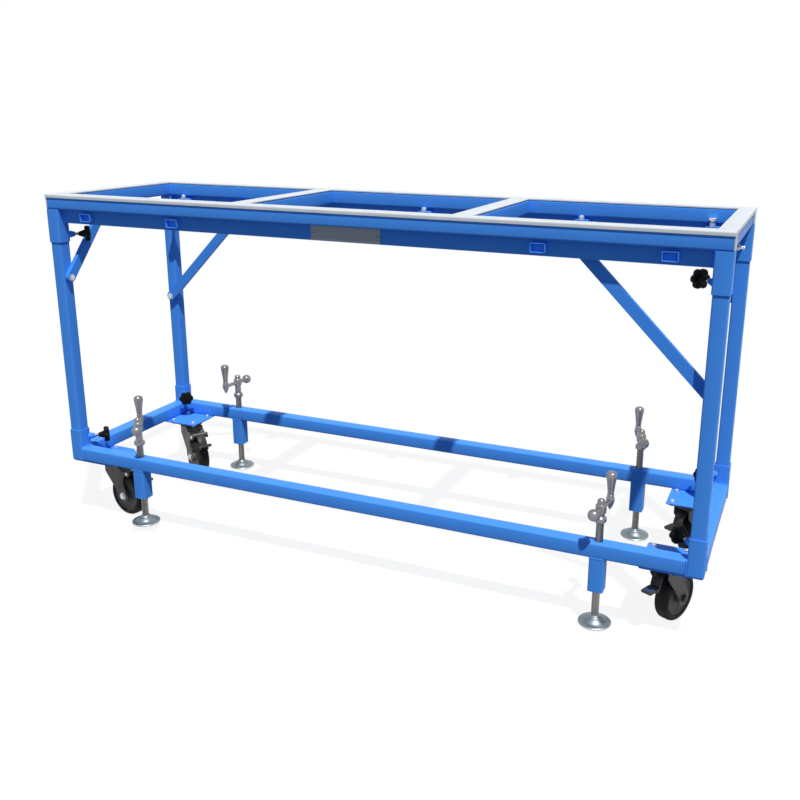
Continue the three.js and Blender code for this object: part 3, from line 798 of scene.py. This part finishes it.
def mounting_plate(bm, steel, bolts, tag):
    """Painted plate welded under the base corner, the caster's own plate below it, and four bolts."""
    sx, sy = CORNERS[tag]
    pivot = Vector(JOINTS[f"swivel_{tag}"]["pos_m"])
    reach = CASTER_PLATE / 2 + 4 * MM
    inner_x, inner_y = pivot.x - sx * reach, pivot.y - sy * reach
    outer_x, outer_y = sx * (HALF_LENGTH - 1 * MM), sy * (HALF_DEPTH - 1 * MM)
    centre = Vector(((inner_x + outer_x) / 2, (inner_y + outer_y) / 2, BASE_BOTTOM - PLATE_THICK - GAP))
    plate(bm, rounded(abs(outer_x - inner_x), abs(outer_y - inner_y), 6 * MM), centre, Vector((1, 0, 0)),
          Vector((0, 1, 0)), PLATE_THICK)
    under = centre.z - CASTER_PLATE_THICK
    plate(steel, rounded(CASTER_PLATE, CASTER_PLATE, 9 * MM), Vector((pivot.x, pivot.y, under)),
          Vector((1, 0, 0)), Vector((0, 1, 0)), CASTER_PLATE_THICK)
    for bx in (-1, 1):
        for by in (-1, 1):
            spot = Vector((pivot.x + bx * BOLT_SPREAD, pivot.y + by * BOLT_SPREAD, centre.z + PLATE_THICK))
            bolt(bolts, spot, UP, CASTER_HEXAGON, 4.2 * MM, CASTER_WASHER)
            bolt(bolts, Vector((spot.x, spot.y, under)), -UP, CASTER_HEXAGON, 2.4 * MM, CASTER_WASHER)


def base_rails():
    for side, sy in (("front", -1), ("rear", 1)):
        bm = bmesh.new()
        low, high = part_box(f"base_rail_{side}")
        foot = low.z
        low.z = BASE_BOTTOM
        box_tube(bm, low, high, 0)
        for sx in (-1, 1):
            x = high.x if sx > 0 else low.x
            for y in (low.y, high.y):
                weld(bm, [Vector((x, y, low.z)), Vector((x, y, high.z))])
            weld(bm, [Vector((x, low.y, high.z)), Vector((x, high.y, high.z))])
            jack_tube(bm, jack_spot(("f" if sy < 0 else "r") + ("l" if sx < 0 else "r")), foot)
        piece(f"base_rail_tube_{side}", bm, BLUE, "frame", [f"base_rail_{side}"])


def jack_spot(tag):
    return Vector(JOINTS[f"crank_turn_{tag}"]["pos_m"])


def jack_tube(bm, spot, foot):
    """Square tube under the rail, welded round its top, with the jack nut in it and a rim on the rail."""
    box_tube(bm, *square(spot, JACK_TUBE, foot, BASE_BOTTOM), 2, JACK_TUBE_CORNER, JACK_TUBE_WALL)
    half = JACK_TUBE / 2 - 1 * MM
    corner = [Vector((spot.x + a * half, spot.y + b * half, BASE_BOTTOM))
              for a, b in ((-1, -1), (1, -1), (1, 1), (-1, 1))]
    weld(bm, corner + corner[:1], 2 * MM)
    bore = SCREW_RADIUS + 0.4 * MM
    nut = [(JACK_NUT_RADIUS, 0), (JACK_NUT_RADIUS, JACK_NUT_HEIGHT), (bore, JACK_NUT_HEIGHT), (bore, 0)]
    turned_ring(bm, Vector((spot.x, spot.y, foot + 1.5 * MM)), UP, nut, 32)
    rim = [(12 * MM, 0), (12 * MM, 1.6 * MM), (11.2 * MM, 2.4 * MM), (bore, 2.4 * MM), (bore, 0)]
    turned_ring(bm, Vector((spot.x, spot.y, BASE_TOP - 1 * MM)), UP, rim, 32)


# Braces

def short_brace_ends(tag):
    """Pivot points of a short brace, on the face of the leg."""
    low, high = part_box(f"brace_{tag}")
    sx, sy = CORNERS[tag]
    spot = leg_spot(tag)
    half = BRACE_WIDTH / 2
    face = high.x if sx > 0 else low.x
    far = low.y + half if sy > 0 else high.y - half
    return Vector((face, spot.y, low.z + half)), Vector((face, far, high.z - half))


def long_brace_ends(tag):
    low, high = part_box(f"brace_{tag}")
    sx, sy = CORNERS[tag]
    spot = leg_spot(tag)
    half = BRACE_WIDTH / 2
    face = high.y if sy > 0 else low.y
    far = low.x + half if sx > 0 else high.x - half
    return Vector((spot.x, face, low.z + half)), Vector((far, face, high.z - half))


def braces():
    for tag, (sx, sy) in CORNERS.items():
        long = tag in ("fr", "rl")
        first, last = long_brace_ends(tag) if long else short_brace_ends(tag)
        inward = Vector((0, -sy, 0)) if long else Vector((-sx, 0, 0))
        along = (last - first).normalized()
        up = inward.cross(along)
        run = (last - first).length
        half = BRACE_WIDTH / 2
        outline = arc((0, 0), half, 90, 270, 14) + arc((run, 0), half, -90, 90, 14)
        bm = bmesh.new()
        plate(bm, outline, first, along, up, BRACE_THICK, 1.2 * MM)
        piece(f"brace_bar_{tag}", bm, BLUE, "frame", [f"brace_{tag}"])
        bm = bmesh.new()
        for end in (first, last):
            bolt(bm, end + inward * BRACE_THICK, inward, 6.5 * MM, 4 * MM, 9.5 * MM)
        piece(f"brace_bolts_{tag}", bm, FASTENER, "frame")


# Knobs

def star(radius, depth, count=84):
    """Outline with round lobes and narrow hollows."""
    outline = []
    for i in range(count):
        angle = 2 * math.pi * i / count
        wave = abs(math.cos(KNOB_LOBES / 2 * angle))
        r = radius - depth * (1 - wave) ** 1.1
        outline.append((r * math.cos(angle), r * math.sin(angle)))
    return outline


def knobs():
    for level, height in (("top", TOP_KNOB_Z), ("base", BASE_KNOB_Z)):
        for tag, (sx, sy) in CORNERS.items():
            spot = leg_spot(tag)
            origin = Vector((spot.x, spot.y, height))
            out = Vector((-sx, -sy, 0)).normalized()
            across, up = axes(out)
            bm = bmesh.new()
            near, far = KNOB_NEAR + KNOB_NECK, KNOB_NEAR + KNOB_LENGTH
            rings = []
            for shrink, t in ((4.5, near), (1.6, near + 0.6 * MM), (0.4, near + 2 * MM), (0, near + 4 * MM),
                              (0, far - 5 * MM), (0.5, far - 2.6 * MM), (2, far - 0.9 * MM), (5, far)):
                outline = star(KNOB_RADIUS - shrink * MM, LOBE_DEPTH)
                rings.append(ring(origin + out * t, across, up, outline))
            skin(bm, rings)
            turned(bm, origin, out, [(5.4 * MM, KNOB_NEAR - 6 * MM), (6 * MM, KNOB_NEAR - 5 * MM),
                                     (11.5 * MM, near + 1 * MM)], 32)
            turned(bm, origin + out * far, out, in_mm([(7.5, -1), (7.5, 0.5), (6.6, 1), (0.1, 1.2)]), 28)
            body = f"knob_{level}_{tag}"
            piece(f"star_knob_{level}_{tag}", bm, BLACK, body, [body])
            bm = bmesh.new()
            length = KNOB_NEAR + 1 * MM - STUD_START
            thread(bm, origin + out * STUD_START, out, STUD_RADIUS, length, FINE_PITCH, 16, 5)
            piece(f"knob_stud_{level}_{tag}", bm, SCREW, body)


# Casters

class Caster:
    """Axes of one caster: s along its trail, w along its axle."""

    def __init__(self, tag):
        self.pivot = Vector(JOINTS[f"swivel_{tag}"]["pos_m"])
        self.axle = Vector(JOINTS[f"roll_{tag}"]["pos_m"])
        self.pin = Vector(JOINTS[f"brake_press_{tag}"]["pos_m"])
        flat = Vector((self.axle.x - self.pivot.x, self.axle.y - self.pivot.y, 0))
        self.trail = flat.length
        self.s = flat.normalized()
        self.w = UP.cross(self.s)
        self.pin_s = (self.pin - self.pivot).dot(self.s)
        self.over = self.pin_s > self.trail / 2

    def at(self, s, w, z):
        return Vector((self.pivot.x, self.pivot.y, 0)) + self.s * s + self.w * w + UP * z


def casters():
    for tag in CORNERS:
        caster = Caster(tag)
        fork(caster, tag)
        wheel(caster, tag)
        pedal(caster, tag)


def cheek(caster, crown):
    """Outline of a fork side. With the pedal over the wheel it is drawn in between hub and pin."""
    back = min(-FORK_BACK, caster.pin_s - PIN_EDGE)
    front = max(FORK_FRONT, caster.pin_s + PIN_EDGE)
    low = caster.pin.z - PIN_EDGE
    top = crown + CROWN_THICK
    outline = [(back, top), (back, low)] + arc((caster.trail, caster.axle.z), HUB_LOBE, 171, 369, 18)
    if caster.over:
        front = FORK_FRONT
        waist = [(54, 86), (50.5, 93), (49, 100), (48, 106), (48, 112), (49.4, 118.5), (52, 124),
                 (58, 130.5)]
        outline += in_mm(waist)
        outline += arc((caster.pin_s, caster.pin.z), PIN_EDGE, -90, 150, 16)
        outline += arc(ROLL, ROLL_RADIUS, 10, 100, 8) + [(front, ROLL[1] + 11 * MM), (front, top)]
    else:
        outline += [(front, low), (front, top)]
    return outline, back, front


def fork(caster, tag):
    bm = bmesh.new()
    top = caster.pivot.z
    crown = top - CROWN_DROP
    outline, back, front = cheek(caster, crown)
    for w in (-FORK_INSIDE / 2, FORK_INSIDE / 2 + FORK_THICK):
        plate(bm, outline, caster.at(0, w, 0), caster.s, UP, FORK_THICK, 0.8 * MM)
    brake_rolls(bm, caster)
    width = FORK_INSIDE + 2 * FORK_THICK
    middle = crown + CROWN_THICK / 2
    bar(bm, caster.at(back, 0, middle), caster.at(front, 0, middle), width, CROWN_THICK, caster.w,
        1.8 * MM, 1.5 * MM)
    race = [(30, 3), (34, 4), (36, 6.5), (36, 9), (34.5, 10), (34.5, 11), (36.5, 12), (36.5, 15),
            (34, 17.5), (10, 17.5)]
    turned(bm, caster.at(0, 0, crown), UP, in_mm(race), 48)
    piece(f"swivel_fork_{tag}", bm, FORK, f"caster_{tag}", [f"caster_fork_{tag}"])
    axle_bolt(caster, tag)


def axle_bolt(caster, tag):
    """Axle with a bolt head on each side, and the pedal's pin with its two heads."""
    bm = bmesh.new()
    outer = FORK_INSIDE / 2 + FORK_THICK
    for side in (-1, 1):
        seat = caster.at(caster.trail, side * (outer - 0.2 * MM), caster.axle.z)
        bolt(bm, seat, caster.w * side, 9 * MM, 4.4 * MM, 11 * MM)
    turned(bm, caster.at(caster.trail, -outer, caster.axle.z), caster.w,
           [(5.8 * MM, 0), (5.8 * MM, 2 * outer)], 24)
    span = 2 * outer + 4 * MM
    head = in_mm([(4.4, 0), (4.6, 1.6), (2.8, 1.8)])
    pin = head + [(r, span - t) for r, t in reversed(head)]
    turned(bm, caster.at(caster.pin_s, -span / 2, caster.pin.z), caster.w, pin, 24)
    # The front and rear right casters, without the pedal over the wheel, stand in shade; their bolts take
    # the dark pedal steel as painted shade.
    piece(f"axle_bolt_{tag}", bm, FASTENER if caster.over else PEDAL, f"caster_{tag}")


def brake_rolls(bm, caster):
    """Roll over the tyre. Where the pedal is there too, the crown bends down to it and a guard is added."""
    half = FORK_INSIDE / 2
    roll = [(ROLL_RADIUS, 0), (ROLL_RADIUS, 2 * half)]
    turned(bm, caster.at(ROLL[0], -half, ROLL[1]), caster.w, roll, 28)
    if caster.over:
        bend = caster.at(FORK_FRONT - 1 * MM, 0, caster.pivot.z - CROWN_DROP + CROWN_THICK / 2)
        lower = caster.at(ROLL[0], 0, ROLL[1] + 5 * MM)
        bar(bm, bend, lower, 2 * half, CROWN_THICK, caster.w, 1 * MM, 0.8 * MM)
        guard = arc((0, 0), GUARD_OUTER, 40, 215, 14) + arc((0, 0), GUARD_INNER, 215, 40, 14)
        ends = (-half + 1 * MM, half - 1 * MM)
        skin(bm, [ring(caster.pin + caster.w * w, caster.s, UP, guard) for w in ends])


def wheel(caster, tag):
    centre = caster.axle
    half = WHEEL_WIDTH / 2
    seat = WHEEL_RADIUS - TYRE_DEPTH
    wall = [(seat, half - 3 * MM), (seat + 2 * MM, half - 0.6 * MM), (seat + 5 * MM, half)]
    right = wall + arc((WHEEL_RADIUS - TYRE_ROUND, half - TYRE_ROUND), TYRE_ROUND, 78, 0, 9)
    left = [(r, -t) for r, t in reversed(right)]
    bm = bmesh.new()
    turned_ring(bm, centre, caster.w, right + left, 72)
    piece(f"tyre_{tag}", bm, RUBBER, f"wheel_{tag}", [f"caster_wheel_{tag}"])
    bm = bmesh.new()
    face = [(6.2, 20), (13, 20), (14, 19), (15, 15), (17, 14), (41, 14), (43, 14.6), (44.5, 15.6),
            (46.6, 15.6)]
    near = in_mm(face)
    far = [(r, -t) for r, t in reversed(near)]
    turned_ring(bm, centre, caster.w, near + far, 56)
    piece(f"wheel_centre_{tag}", bm, HUB, f"wheel_{tag}")


def pedal(caster, tag):
    """Bent pressing on the pin, with a ribbed foot plate at its end."""
    side = 1 if caster.over else -1
    drop, reach, rise, wide = PEDAL_OVER if caster.over else PEDAL_AHEAD
    path = [(-3, 5), (12, 4), (30, -18 * drop), (35, -43 * drop), (41, -47 * drop), (46, -56 * drop),
            (40, -58 * drop), (32, -50 * drop), (26, -22 * drop), (9, -4), (-3, -5)]
    bm = bmesh.new()
    plate(bm, [(caster.pin_s + side * u * MM, caster.pin.z + v * MM) for u, v in path],
          caster.at(0, PEDAL_WIDTH / 2, 0), caster.s, UP, PEDAL_WIDTH, 1 * MM)
    barrel = [(6.2, -21), (7, -20.2), (7, 20.2), (6.2, 21)]
    turned(bm, caster.pin, caster.w, in_mm(barrel), 28)
    low = -45 * drop
    start = caster.pin + caster.s * side * FOOT_START * MM + UP * low * MM
    end = caster.pin + caster.s * side * reach * MM + UP * (low + (reach - FOOT_START) * rise) * MM
    bar(bm, start, end, wide * MM, FOOT_THICK, caster.w, 2.5 * MM, 2 * MM)
    piece(f"brake_pedal_{tag}", bm, PEDAL, f"brake_{tag}", [f"caster_pedal_{tag}"])
    along = (end - start).normalized()
    lift = along.cross(caster.w) * side
    bm = bmesh.new()
    cover = lift * 3.4 * MM
    inset = along * 2 * MM
    bar(bm, start + cover + inset, end + cover - inset, (wide - 3) * MM, 2 * MM, caster.w,
        0.8 * MM, 0.6 * MM)
    half = caster.w * (wide / 2 - 4) * MM
    for i in range(FOOT_RIBS):
        rib = start.lerp(end, (i + 1) / (FOOT_RIBS + 1)) + lift * 4.4 * MM
        bar(bm, rib - half, rib + half, 2.2 * MM, 2.2 * MM, along, 0.8 * MM, 0.5 * MM)
    # The front right foot cover takes the lighter blue-grey steel, a painted sky reflection; the other feet
    # take the plain dark pedal steel.
    piece(f"foot_cover_{tag}", bm, FOOT_PAINTED_SKY_REFLECTION if tag == "fr" else PEDAL, f"brake_{tag}")


# Levelling jacks

def jacks():
    for tag in CORNERS:
        spot = jack_spot(tag)
        foot = Vector((spot.x, spot.y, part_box(f"jack_pad_{tag}")[0].z))
        jack_pad(tag, foot)
        jack_screw(tag, foot)


def jack_pad(tag, foot):
    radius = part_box(f"jack_pad_{tag}")[1].x - foot.x
    rim = [(radius - 4 * MM, 0), (radius - 1 * MM, 0.2 * MM), (radius, 1.4 * MM), (radius, 3.2 * MM)]
    dome = [(39, 4.4), (36, 5.4), (32, 6.4), (28.5, 8), (25.5, 10.2), (22.5, 12.8), (19.4, 15),
            (16.2, 16.8), (13.6, 18.2), (12.4, 20), (12, 21.2), (11, 22)]
    bm = bmesh.new()
    turned(bm, foot, UP, rim + in_mm(dome), 64)
    piece(f"swivel_pad_{tag}", bm, ZINC, f"pad_{tag}", [f"jack_pad_{tag}"])


def jack_screw(tag, foot):
    """Threaded rod with a collar, and the crank on top: counterweight ball, arm and standing grip."""
    body = f"crank_{tag}"
    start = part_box(f"jack_screw_{tag}")[0].z - foot.z
    bm = bmesh.new()
    collar = COLLAR_HEIGHT[tag] * MM
    thread(bm, foot + UP * start, UP, SCREW_RADIUS, collar - 7 * MM - start, SCREW_PITCH)
    piece(f"jack_thread_{tag}", bm, SCREW, body)
    azimuth = math.radians(CRANK_AZIMUTH[tag])
    out = Vector((math.cos(azimuth), math.sin(azimuth), 0))
    hub = foot + UP * ARM_HEIGHT
    weight = hub - out * BALL_REACH
    elbow = hub + out * GRIP_REACH
    bm = bmesh.new()
    cup = [(9, -8), (11.8, -7.8), (12.4, -7), (14.8, -4), (15, -2.5), (15, 2.5), (14.5, 4), (12, 6.6),
           (10.6, 8), (10, 9)]
    turned(bm, foot + UP * collar, UP, in_mm(cup), 36)
    sleeve = [(9.6, -14), (10, -12), (12.4, -9.6), (13, -7), (13, 7), (12.4, 9.6), (10, 12), (9.4, 13),
              (9.4, 20), (8.6, 22), (6, 24.6), (2.4, 25)]
    turned(bm, hub, UP, [(9.8 * MM, collar - ARM_HEIGHT + 8 * MM)] + in_mm(sleeve), 36)
    arm = elbow - weight
    waist = [(8, 0), (7, 0.13), (6.2, 0.2), (6.6, 0.3), (7.6, 0.36), (7.6, 0.5), (6.2, 0.56), (5.6, 0.7),
             (5.6, 0.88), (6.4, 0.95), (7, 1)]
    turned(bm, weight, arm, [(r * MM, t * arm.length) for r, t in waist], 28)
    sphere(bm, weight, BALL_RADIUS, arm)
    grip = [(0.6, -24), (2, -22.6), (5.6, -16), (8.6, -8.5), (10.2, -2), (10.4, 3), (9.6, 7.4), (7.7, 9.6),
            (7.4, 11.4), (8.8, 12.4), (8.8, 14), (7.5, 15), (7.7, 20), (9, 34), (10.9, 48), (12.5, 58),
            (13, 62), (12.8, 66), (11.4, 69.6), (8, 72.2), (3, 73)]
    turned(bm, elbow, UP, in_mm(grip), 36)
    piece(f"ball_crank_{tag}", bm, STEEL, body, [f"jack_screw_{tag}"])


top_frame()
strips()
aprons()
name_plate()
legs()
base_ends()
base_rails()
braces()
knobs()
casters()
jacks()


# Stage: pale floor, plain sky, one key light, the camera

def seen_directly(tree):
    """1 for camera, mirror and see-through rays, 0 for rays that carry light to the object."""
    rays = tree.nodes.new("ShaderNodeLightPath")
    total = rays.outputs["Is Camera Ray"]
    for name in ("Is Glossy Ray", "Is Transmission Ray"):
        node = tree.nodes.new("ShaderNodeMath")
        node.operation = "MAXIMUM"
        tree.links.new(total, node.inputs[0])
        tree.links.new(rays.outputs[name], node.inputs[1])
        total = node.outputs[0]
    return total


def floor():
    bm = bmesh.new()
    corners = ((-1, -1), (1, -1), (1, 1), (-1, 1))
    bm.faces.new([bm.verts.new((x * FLOOR_HALF, y * FLOOR_HALF, 0)) for x, y in corners])
    data = bpy.data.meshes.new("floor")
    bm.to_mesh(data)
    bm.free()
    obj = bpy.data.objects.new("floor", data)
    bpy.context.scene.collection.objects.link(obj)
    material = bpy.data.materials.new("pale_floor")
    material.use_nodes = True
    tree = material.node_tree
    tree.nodes.clear()
    shade = tree.nodes.new("ShaderNodeBsdfDiffuse")
    shade.inputs["Color"].default_value = grey(FLOOR_SHADE)
    pale = tree.nodes.new("ShaderNodeBsdfDiffuse")
    pale.inputs["Color"].default_value = grey(FLOOR_PALE)
    glow = tree.nodes.new("ShaderNodeEmission")
    seen = tree.nodes.new("ShaderNodeMixShader")
    seen.inputs["Fac"].default_value = FLOOR_GLOW
    tree.links.new(pale.outputs["BSDF"], seen.inputs[1])
    tree.links.new(glow.outputs["Emission"], seen.inputs[2])
    either = tree.nodes.new("ShaderNodeMixShader")
    tree.links.new(seen_directly(tree), either.inputs["Fac"])
    tree.links.new(shade.outputs["BSDF"], either.inputs[1])
    tree.links.new(seen.outputs["Shader"], either.inputs[2])
    out = tree.nodes.new("ShaderNodeOutputMaterial")
    tree.links.new(either.outputs["Shader"], out.inputs["Surface"])
    data.materials.append(material)


def sky():
    world = bpy.data.worlds.new("plain_sky")
    bpy.context.scene.world = world
    world.use_nodes = True
    tree = world.node_tree
    tree.nodes.clear()
    fill = tree.nodes.new("ShaderNodeBackground")
    fill.inputs["Color"].default_value = FILL_COLOUR
    fill.inputs["Strength"].default_value = FILL_STRENGTH
    white = tree.nodes.new("ShaderNodeBackground")
    white.inputs["Color"].default_value = grey(1)
    white.inputs["Strength"].default_value = 1
    either = tree.nodes.new("ShaderNodeMixShader")
    tree.links.new(seen_directly(tree), either.inputs["Fac"])
    tree.links.new(fill.outputs["Background"], either.inputs[1])
    tree.links.new(white.outputs["Background"], either.inputs[2])
    out = tree.nodes.new("ShaderNodeOutputWorld")
    tree.links.new(either.outputs["Shader"], out.inputs["Surface"])


def key_light():
    lamp = bpy.data.lights.new("key", "SUN")
    lamp.energy = SUN_STRENGTH
    lamp.angle = math.radians(SUN_SIZE)
    lamp.color = SUN_COLOUR
    obj = bpy.data.objects.new("key", lamp)
    bpy.context.scene.collection.objects.link(obj)
    azimuth, elevation = math.radians(SUN_AZIMUTH), math.radians(SUN_ELEVATION)
    towards = Vector((math.sin(azimuth) * math.cos(elevation), -math.cos(azimuth) * math.cos(elevation),
                      math.sin(elevation)))
    obj.rotation_euler = (-towards).to_track_quat("-Z", "Y").to_euler()


def camera():
    data = bpy.data.cameras.new("camera")
    data.sensor_width = 36
    data.lens = CAMERA_LENS
    data.shift_x, data.shift_y = CAMERA_SHIFT
    obj = bpy.data.objects.new("camera", data)
    bpy.context.scene.collection.objects.link(obj)
    turn = (Matrix.Rotation(CAMERA_YAW, 4, "Z") @ Matrix.Rotation(CAMERA_PITCH, 4, "X")
            @ Matrix.Rotation(CAMERA_ROLL, 4, "Y") @ Matrix.Rotation(math.pi / 2, 4, "X"))
    obj.matrix_world = Matrix.Translation(CAMERA_SPOT) @ turn
    bpy.context.scene.camera = obj


floor()
sky()
key_light()
camera()
bpy.context.scene.view_settings.view_transform = "Standard"
